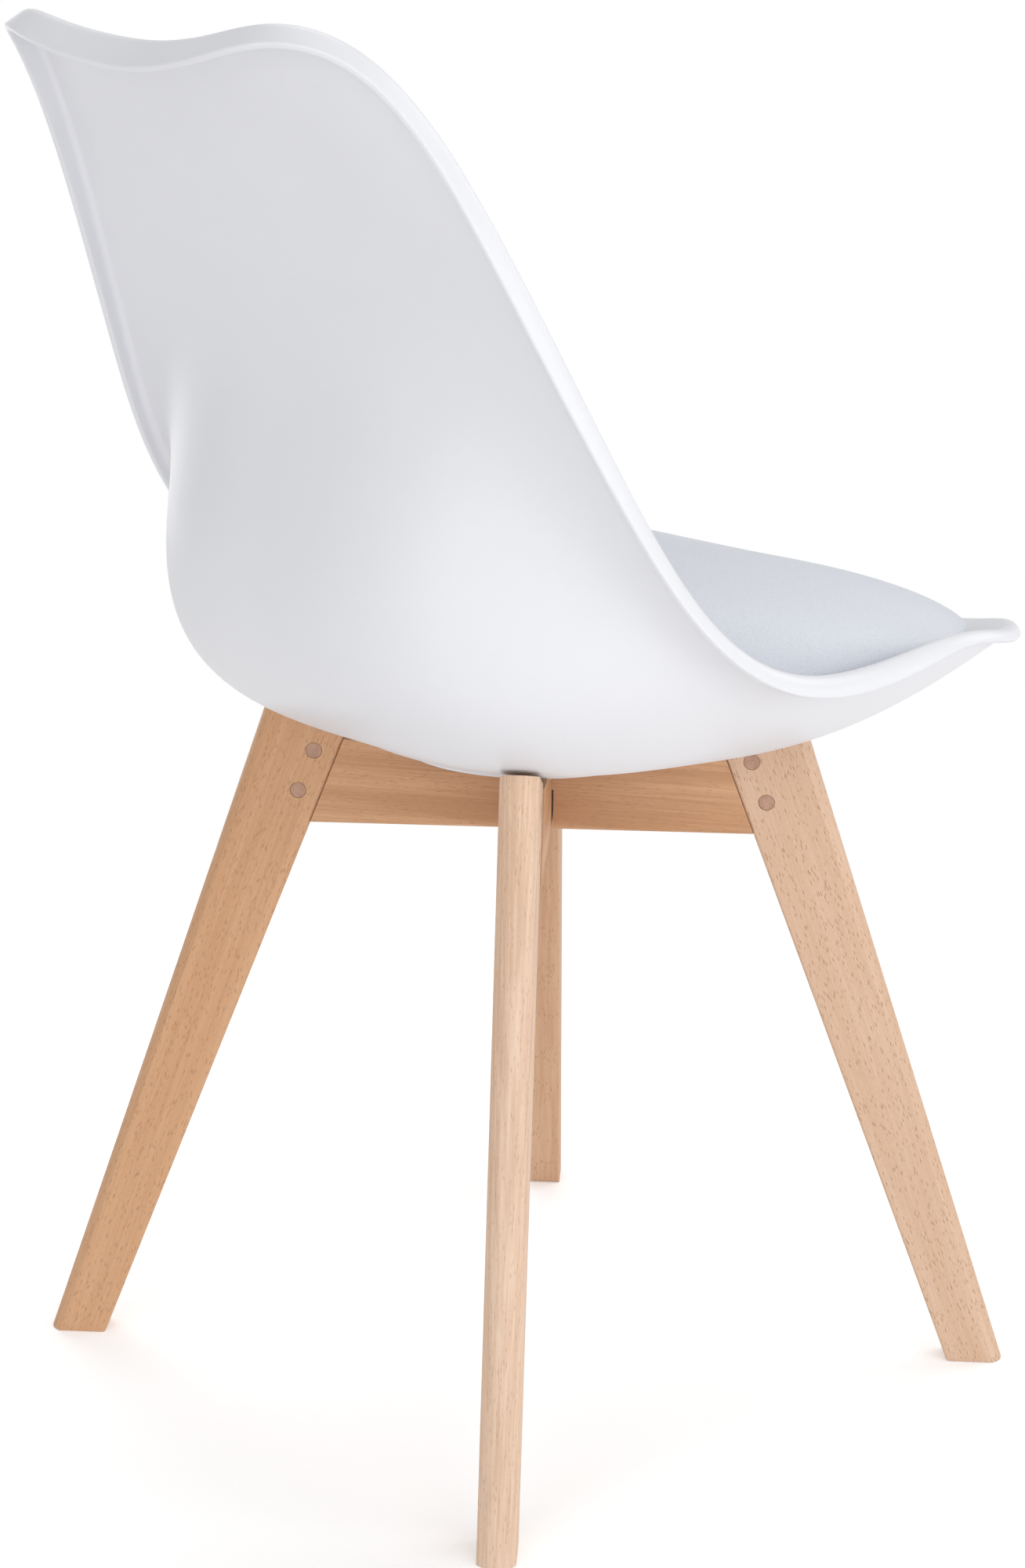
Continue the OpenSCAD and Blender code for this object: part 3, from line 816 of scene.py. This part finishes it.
# ---- the pad
@dataclass
class SeatPad:
    """The upholstered pad: cover, foam and base pan, laid in the shell. Sizes in millimetres.

    The crown has the height top in the middle and falls to a side of height side. Its outline
    is (distance, fraction from front to top) points. The skin starts a distance sink below the
    crown at the share brim of the outline, and its hem ends under the pad at the share hem.
    """

    shell: SeatShell
    top: float = 514.5
    side: float = 6
    flat: float = 3
    full: float = 1.5
    edge: tuple = ((0, .049), (70, .049), (130, .049), (169, .058), (200, .098), (218, .170),
                   (223, .290), (213, .400), (177, .476), (90, .500), (0, .504))
    cover: float = 1.5
    pan: float = 2.5
    gap: float = 0.3
    reach: float = 0.8
    sink: float = 1.5
    brim: float = 0.992
    hem: float = 0.81
    middle: float = 0.27
    pressure: float = 2.0
    most: float = 8
    frames: int = 20
    cells: int = 76

    def outline(self, s: Array) -> Array:
        """The outline's (distance from the middle plane, fraction), once round for s 0 to 1."""
        return closed_curve(mirrored(np.array(self.edge)), s)

    def low(self, s: Array, k: Array, lift: float) -> Array:
        """Points a distance lift above the seat at a fraction k of the way to the outline."""
        edge = self.outline(s)
        p = edge[..., 0] * k
        u = self.middle + (edge[..., 1] - self.middle) * k
        return self.shell.lifted(p, u, self.shell.wall + lift)

    def high(self, s: Array, k: Array, sink: float) -> Array:
        """Top of the pad, a distance sink below its skin: a crown that falls to the pad's edge.

        The edge stands a height side above the seat. Above it the crown has the share
        (1 - k^flat)^(1 / full) of its height in the middle.
        """
        base = self.low(s, k, self.gap)
        edge = self.low(s, np.ones_like(k), self.gap)[..., 2] + self.side
        share = (1 - np.minimum(k, 1) ** self.flat) ** (1 / self.full)
        base[..., 2] = edge + (self.top - edge) * share - sink
        return base

    def disc(self) -> tuple[Array, Array]:
        """A square of cells laid over a round disc, so that no cell is pinched to a pole.

        A point (x, y) of the square goes to (x sqrt(1 - y^2 / 2), y sqrt(1 - x^2 / 2)). Its
        lines are closer together towards the rim, by a sine.

        Returns:
            Turn s from 0 to 1 and radius k from 0 to 1, each (cells + 1, cells + 1).
        """
        bend = math.pi / 2 * 0.55
        line = np.sin(np.linspace(-1, 1, self.cells + 1) * math.pi / 2 * 0.55) / math.sin(bend)
        x, y = np.meshgrid(line, line, indexing="ij")
        a, b = x * np.sqrt(1 - y * y / 2), y * np.sqrt(1 - x * x / 2)
        return (np.arctan2(a, -b) / math.tau) % 1.0, np.minimum(np.hypot(a, b), 1)

    def border(self) -> Array:
        """Indices of the square's border points in order round it."""
        n = self.cells
        index = np.arange((n + 1) ** 2).reshape(n + 1, n + 1)
        return np.concatenate([index[:-1, 0], index[-1, :-1], index[:0:-1, -1], index[0, :0:-1]])

    def sheet(self) -> tuple[Build, int]:
        """The cover's skin: the crown as a square of cells, then collars of points that go down
        the pad's side and back under it to the hem.

        Returns:
            The build and the number of points that may move when it is inflated.
        """
        made = Build()
        s, k = self.disc()
        grid = self.high(s, k * self.brim, self.sink)
        made.grid(self.shell.in_place(grid), wrap_columns=False)
        border = self.border()
        turn = s.ravel()[border]
        brink = grid.reshape(-1, 3)[border]
        rest = self.gap + self.cover
        foot = self.low(turn, np.full_like(turn, self.brim * 0.992), rest)
        share = np.array([0.35, 0.7, 0.92])[:, None, None]
        side = brink + (foot - brink) * share
        tuck = np.stack([self.low(turn, np.full_like(turn, v), rest)
                         for v in np.linspace(self.brim * 0.985, self.hem, 9)])
        free = (self.cells + 1) ** 2 + 2 * len(border)
        collar = made.add(self.shell.in_place(np.concatenate([side, tuck])))
        index = np.concatenate([border[None], collar.reshape(-1, len(border))])
        a, b = index[:-1], np.roll(index[:-1], -1, 1)
        d, c = index[1:], np.roll(index[1:], -1, 1)
        made.faces.append(np.stack([a, d, c, b], -1).reshape(-1, 4))
        return made, free

    def inflate(self, thing: Thing, free: int) -> None:
        """Lets the skin swell under pressure from inside with its hem held, then applies it.

        A point's movement is eased by a hyperbolic tangent, so that it stays below most.

        Args:
            thing: the skin's object.
            free: points after this one are held.
        """
        mesh = thing.data
        rest = np.empty(len(mesh.vertices) * 3, np.float32)
        mesh.vertices.foreach_get("co", rest)
        held = thing.vertex_groups.new(name="held")
        held.add(list(range(free, len(mesh.vertices))), 1.0, "REPLACE")
        cloth = thing.modifiers.new("swell", "CLOTH")
        rules = cloth.settings
        rules.quality = 6
        rules.mass = 0.25
        rules.tension_stiffness = rules.compression_stiffness = 25
        rules.shear_stiffness = 12
        rules.bending_stiffness = 2.5
        rules.use_pressure = True
        rules.uniform_pressure_force = self.pressure
        rules.vertex_group_mass = "held"
        rules.effector_weights.gravity = 0
        cloth.point_cache.frame_start, cloth.point_cache.frame_end = 1, self.frames
        for moment in range(1, self.frames + 1):
            bpy.context.scene.frame_set(moment)
        swollen = applied(thing)
        now = np.empty_like(rest)
        swollen.vertices.foreach_get("co", now)
        bpy.data.meshes.remove(swollen)
        thing.modifiers.clear()
        thing.vertex_groups.clear()
        bpy.context.scene.frame_set(1)
        move = (now - rest).reshape(-1, 3)
        size = np.linalg.norm(move, axis=1, keepdims=True)
        LOG.info("pad swells by %.1f mm at most, %.1f mm on average",
                 size.max() / MM, size.mean() / MM)
        cap = self.most * MM
        move *= cap * np.tanh(size / cap) / np.maximum(size, 1e-9)
        mesh.vertices.foreach_set("co", rest + move.ravel())
        mesh.update()

    def build_cover(self) -> None:
        """The cover: inflated, given its thickness and smoothed once."""
        made, free = self.sheet()
        mesh = made.mesh("seat_pad_leather")
        thing = piece("seat_pad_leather", mesh, LeatherLook().material(),
                      ("seat_pad_cover",))
        self.inflate(thing, free)
        wall = thing.modifiers.new("cloth thickness", "SOLIDIFY")
        wall.thickness, wall.offset = self.cover * MM * 0.8, -1
        wall.use_even_offset = True
        soft = thing.modifiers.new("smooth", "SUBSURF")
        soft.levels = soft.render_levels = 1

    def body(self, name: str, upper: Array, lower: Array) -> Mesh:
        """A closed body between an upper and a lower set of rings, closed at two poles."""
        made = Build()
        index = made.grid(self.shell.in_place(np.concatenate([upper, lower[::-1]])))
        made.fan(index[0], self.shell.in_place(upper[0].mean(0)))
        made.fan(index[-1], self.shell.in_place(lower[0].mean(0)), flip=True)
        return made.mesh(name)

    def build_inside(self) -> None:
        """The foam and the base pan, out of sight under the cover."""
        columns, rings = 128, 16
        s = np.arange(columns) / columns
        # rings stand closer together towards the rim
        k = (1 - (1 - np.arange(1, rings + 1) / rings) ** 1.6)[:, None]
        inset = 1 - (self.cover + 0.6) / 190
        foam = self.body("seat_pad_core", self.high(s, k * inset * 0.95, self.cover + 4.5),
                         self.low(s, k * inset * 0.95, self.gap + self.pan + 0.6))
        piece("seat_pad_core", foam, Foam().material(), ("seat_pad_foam",))
        thin = self.body("seat_pad_base", self.low(s, k * self.reach, self.gap + self.pan),
                         self.low(s, k * self.reach, self.gap))
        dark = MouldedPlastic("pan_plastic", (0.035, 0.036, 0.038), (0.028,) * 3, 0.5, 0.00005)
        piece("seat_pad_base", thin, dark.material(), ("seat_pad_pan",))

    def build(self) -> None:
        """Makes all the pad's pieces."""
        self.build_cover()
        self.build_inside()


# ---- the timber frame
@dataclass
class TimberFrame:
    """Legs, beams and dowels. The solids' own shapes, with their sharp edges eased.

    Each beam has its direction in plan in degrees, its grain's rise and its pattern's seed.
    """

    ease: float = 0.0007
    lean: float = 0.363
    beams: tuple = (("beam_upper", 45, 0.05, 7.0), ("beam_lower", 135, -0.03, 8.4))
    beam_light: Colour = (0.71, 0.415, 0.235)
    beam_dark: Colour = (0.54, 0.285, 0.147)
    legs: dict[Corner, dict] = field(default_factory=lambda: {
        Corner.REAR_LEFT: dict(
            light=(0.695, 0.415, 0.240), dark=(0.595, 0.323, 0.167), seed=1.0),
        Corner.REAR_RIGHT: dict(
            light=(0.835, 0.625, 0.475), dark=(0.655, 0.440, 0.300), seed=2.3,
            flecks=0.35, bands=0.5, grain=0.65),
        Corner.FRONT_RIGHT: dict(
            light=(0.738, 0.524, 0.383), dark=(0.648, 0.423, 0.280), seed=3.7,
            flecks=0.85, bands=0.4),
        Corner.FRONT_LEFT: dict(
            light=(0.700, 0.455, 0.300), dark=(0.590, 0.350, 0.210), seed=5.1, flecks=0.5)})

    def eased(self, node: str) -> Mesh:
        """A solid's mesh joined up, its flat faces made whole and its sharp edges rounded over."""
        made = bmesh.new()
        made.from_mesh(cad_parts[node].data)
        bmesh.ops.remove_doubles(made, verts=made.verts, dist=2e-6)
        bmesh.ops.dissolve_limit(made, angle_limit=math.radians(0.5), verts=made.verts,
                                 edges=made.edges, use_dissolve_boundaries=False)
        mesh = bpy.data.meshes.new(node + "_eased")
        made.to_mesh(mesh)
        made.free()
        mesh.shade_smooth()
        holder = bpy.data.objects.new("holder", mesh)
        bpy.context.scene.collection.objects.link(holder)
        round_over = holder.modifiers.new("ease", "BEVEL")
        round_over.width, round_over.segments = self.ease, 3
        round_over.limit_method, round_over.angle_limit = "ANGLE", math.radians(20)
        round_over.use_clamp_overlap = True
        even = holder.modifiers.new("even shading", "WEIGHTED_NORMAL")
        even.mode, even.weight, even.keep_sharp = "FACE_AREA", 100, False
        result = applied(holder)
        bpy.data.objects.remove(holder)
        return result

    def build(self) -> None:
        """Makes the legs, the beams and the dowels."""
        for corner, tones in self.legs.items():
            c, s = math.cos(corner.angle), math.sin(corner.angle)
            finish = Beech("beech_leg_" + corner.suffix, (-self.lean * c, -self.lean * s, 1.0),
                           (-s, c, 0.0), **tones)
            name = "leg_" + corner.suffix
            piece(name + "_eased", self.eased(name), finish.material(), (name,))
        for name, angle, rise, seed in self.beams:
            c, s = math.cos(math.radians(angle)), math.sin(math.radians(angle))
            finish = Beech("beech_" + name, (c, s, rise), (-s, c, 0), self.beam_light,
                           self.beam_dark, bands=0.75, flecks=0.45, seed=seed)
            piece(name + "_eased", self.eased(name), finish.material(), (name,))
        wood = DowelWood().material()
        for corner in Corner:
            name = "dowels_" + corner.suffix
            piece(name + "_eased", self.eased(name), wood, (name,))


@dataclass
class Fastenings:
    """Screws, washers and inserts: the solids' own shapes with plated finishes."""

    zinc: Metal = Metal("zinc_plate", (0.66, 0.67, 0.69), 0.28)
    brass: Metal = Metal("insert_brass", (0.78, 0.60, 0.30), 0.3)

    def build(self) -> None:
        """Dresses the fastenings."""
        steel, brass = self.zinc.material(), self.brass.material()
        for name, material in (("frame_screws", steel), ("spring_washers", steel),
                               ("flat_washers", steel), ("threaded_inserts", brass)):
            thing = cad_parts[name]
            thing.data.materials.clear()
            thing.data.materials.append(material)
            LOG.info("%s dressed", name)


# ---- the studio
@dataclass(frozen=True)
class Viewpoint:
    """The camera: round a point on the chair's axis, in metres and degrees."""

    aim: tuple[float, float, float] = (0.0, -0.0295, 0.3653)
    heading: float = 137.65
    elevation: float = 15.04
    distance: float = 2.0117
    roll: float = 0.86
    lens: float = 76.0
    shift: tuple[float, float] = (-0.0128, 0.0004)

    def build(self) -> None:
        """Makes the scene's camera."""
        a, e, r = map(math.radians, (self.heading, self.elevation, self.roll))
        back = Vector((math.cos(a) * math.cos(e), math.sin(a) * math.cos(e), math.sin(e)))
        right = (-back).cross(Vector((0, 0, 1))).normalized()
        up = right.cross(-back)
        axes = (right * math.cos(r) + up * math.sin(r), up * math.cos(r) - right * math.sin(r),
                back)
        camera = bpy.data.cameras.new("camera")
        camera.lens, camera.sensor_width = self.lens, 36.0
        camera.shift_x, camera.shift_y = self.shift
        camera.clip_start, camera.clip_end = 0.05, 200.0
        thing = bpy.data.objects.new("camera", camera)
        bpy.context.scene.collection.objects.link(thing)
        turn = Matrix(axes).transposed().to_4x4()
        thing.matrix_world = Matrix.Translation(Vector(self.aim) + back * self.distance) @ turn
        bpy.context.scene.camera = thing


@dataclass(frozen=True)
class Softbox:
    """A square area light that faces the chair: its direction from it, side and power."""

    name: str
    heading: float
    elevation: float
    power: float
    side: float = 1.6
    distance: float = 3.0
    aim: tuple[float, float, float] = (0.0, 0.0, 0.45)

    def build(self) -> None:
        """Makes the light."""
        light = bpy.data.lights.new(self.name, "AREA")
        light.shape, light.size, light.energy = "SQUARE", self.side, self.power
        thing = bpy.data.objects.new(self.name, light)
        bpy.context.scene.collection.objects.link(thing)
        a, e = math.radians(self.heading), math.radians(self.elevation)
        way = Vector((math.cos(a) * math.cos(e), math.sin(a) * math.cos(e), math.sin(e)))
        turn = (-way).to_track_quat("-Z", "Y").to_matrix().to_4x4()
        thing.matrix_world = Matrix.Translation(Vector(self.aim) + way * self.distance) @ turn


@dataclass(frozen=True)
class Studio:
    """White room: softboxes all round, a plain white floor and a white surround.

    The floor is a matt surface that keeps the chair's shadow. Seen by the camera it is lifted a
    little, and from the distance near to the distance far it passes to plain white. It reaches
    reach metres each way and lies drop metres below the feet.
    """

    ambient: float = 0.472
    near: float = 0.50
    far: float = 1.30
    lift: float = 0.27
    white: Colour = (0.90, 0.90, 0.905)
    clear: Colour = (0.91, 0.91, 0.915)
    reach: float = 60.0
    drop: float = 0.0003
    lights: tuple[Softbox, ...] = (
        Softbox("left low", 107.65, 8, 10.4),
        Softbox("front low", 137.65, 8, 8.0),
        Softbox("right low", 197.65, 8, 22.0),
        Softbox("left", 107.65, 32, 7.4),
        Softbox("front", 167.65, 32, 12.0),
        Softbox("far right", 257.65, 32, 18.0),
        Softbox("behind", 317.65, 58, 19.5),
        Softbox("behind low", 347.65, 8, 12.5),
    )

    def seen(self, g: Graph) -> Value:
        """1 where the camera looks at a surface, straight or through a reflection or glass."""
        path = g.node("ShaderNodeLightPath", {}, {})
        rays = [Value(g, path.outputs[name]) for name in
                ("Is Camera Ray", "Is Glossy Ray", "Is Transmission Ray")]
        return (rays[0] + rays[1] + rays[2]).clamp()

    def world(self) -> None:
        """Makes the surround: white to the camera, the ambient level as light."""
        world = bpy.data.worlds.new("studio")
        bpy.context.scene.world = world
        world.use_nodes = True
        tree = world.node_tree
        tree.nodes.clear()
        out, glow, path, share, level = (tree.nodes.new("ShaderNode" + kind) for kind in (
            "OutputWorld", "Background", "LightPath", "Math", "MapRange"))
        glow.inputs["Color"].default_value = (1.0, 1.0, 1.0, 1.0)
        share.operation, share.use_clamp = "ADD", True
        level.inputs["To Min"].default_value = self.ambient
        level.inputs["To Max"].default_value = 1.0
        for source, target in (
                (path.outputs["Is Camera Ray"], share.inputs[0]),
                (path.outputs["Is Transmission Ray"], share.inputs[1]),
                (share.outputs[0], level.inputs["Value"]),
                (level.outputs["Result"], glow.inputs["Strength"]),
                (glow.outputs[0], out.inputs[0])):
            tree.links.new(source, target)

    def floor(self) -> None:
        """Makes the floor."""
        g = Graph("studio_floor")
        cloud = g.noise(g.even(2), detail=1)
        seen = self.seen(g)
        flat = g.node("ShaderNodeVectorMath", {"operation": "LENGTH"}, {0: g.place})
        fade = Value(g, flat.outputs["Value"]).ramp(self.near, self.far) * seen
        matt = g.node("ShaderNodeBsdfPrincipled", {}, {
            "Base Color": g.mix(cloud, self.white, self.clear), "Roughness": 0.9,
            "Emission Color": g.mix(seen, (0.0, 0.0, 0.0), (self.lift,) * 3),
            "Emission Strength": 1.0})
        plain = g.node("ShaderNodeEmission", {}, {"Color": (1, 1, 1, 1), "Strength": 1.0})
        both = g.node("ShaderNodeMixShader", {}, {0: fade, 1: matt.outputs[0], 2: plain.outputs[0]})
        g.tree.links.new(both.outputs[0], g.output.inputs[0])
        made = Build()
        line = np.linspace(-self.reach, self.reach, 3)
        x, y = np.meshgrid(line, line, indexing="ij")
        made.grid(np.stack([x, y, 0 * x - self.drop], -1), wrap_columns=False)
        floor = bpy.data.objects.new("studio_floor", made.mesh("studio_floor"))
        floor.data.materials.append(g.material)
        bpy.context.scene.collection.objects.link(floor)

    def build(self) -> None:
        """Makes the world, the floor and the lights."""
        self.world()
        self.floor()
        for light in self.lights:
            light.build()


def main() -> None:
    """Builds the chair and its studio."""
    logging.basicConfig(level=logging.INFO, format="%(name)s: %(message)s")
    bpy.context.scene.view_settings.view_transform = "Standard"
    Viewpoint().build()
    Studio().build()
    shell = SeatShell()
    shell.build()
    SeatPad(shell).build()
    TimberFrame().build()
    Fastenings().build()


if __name__ == "__main__":
    main()
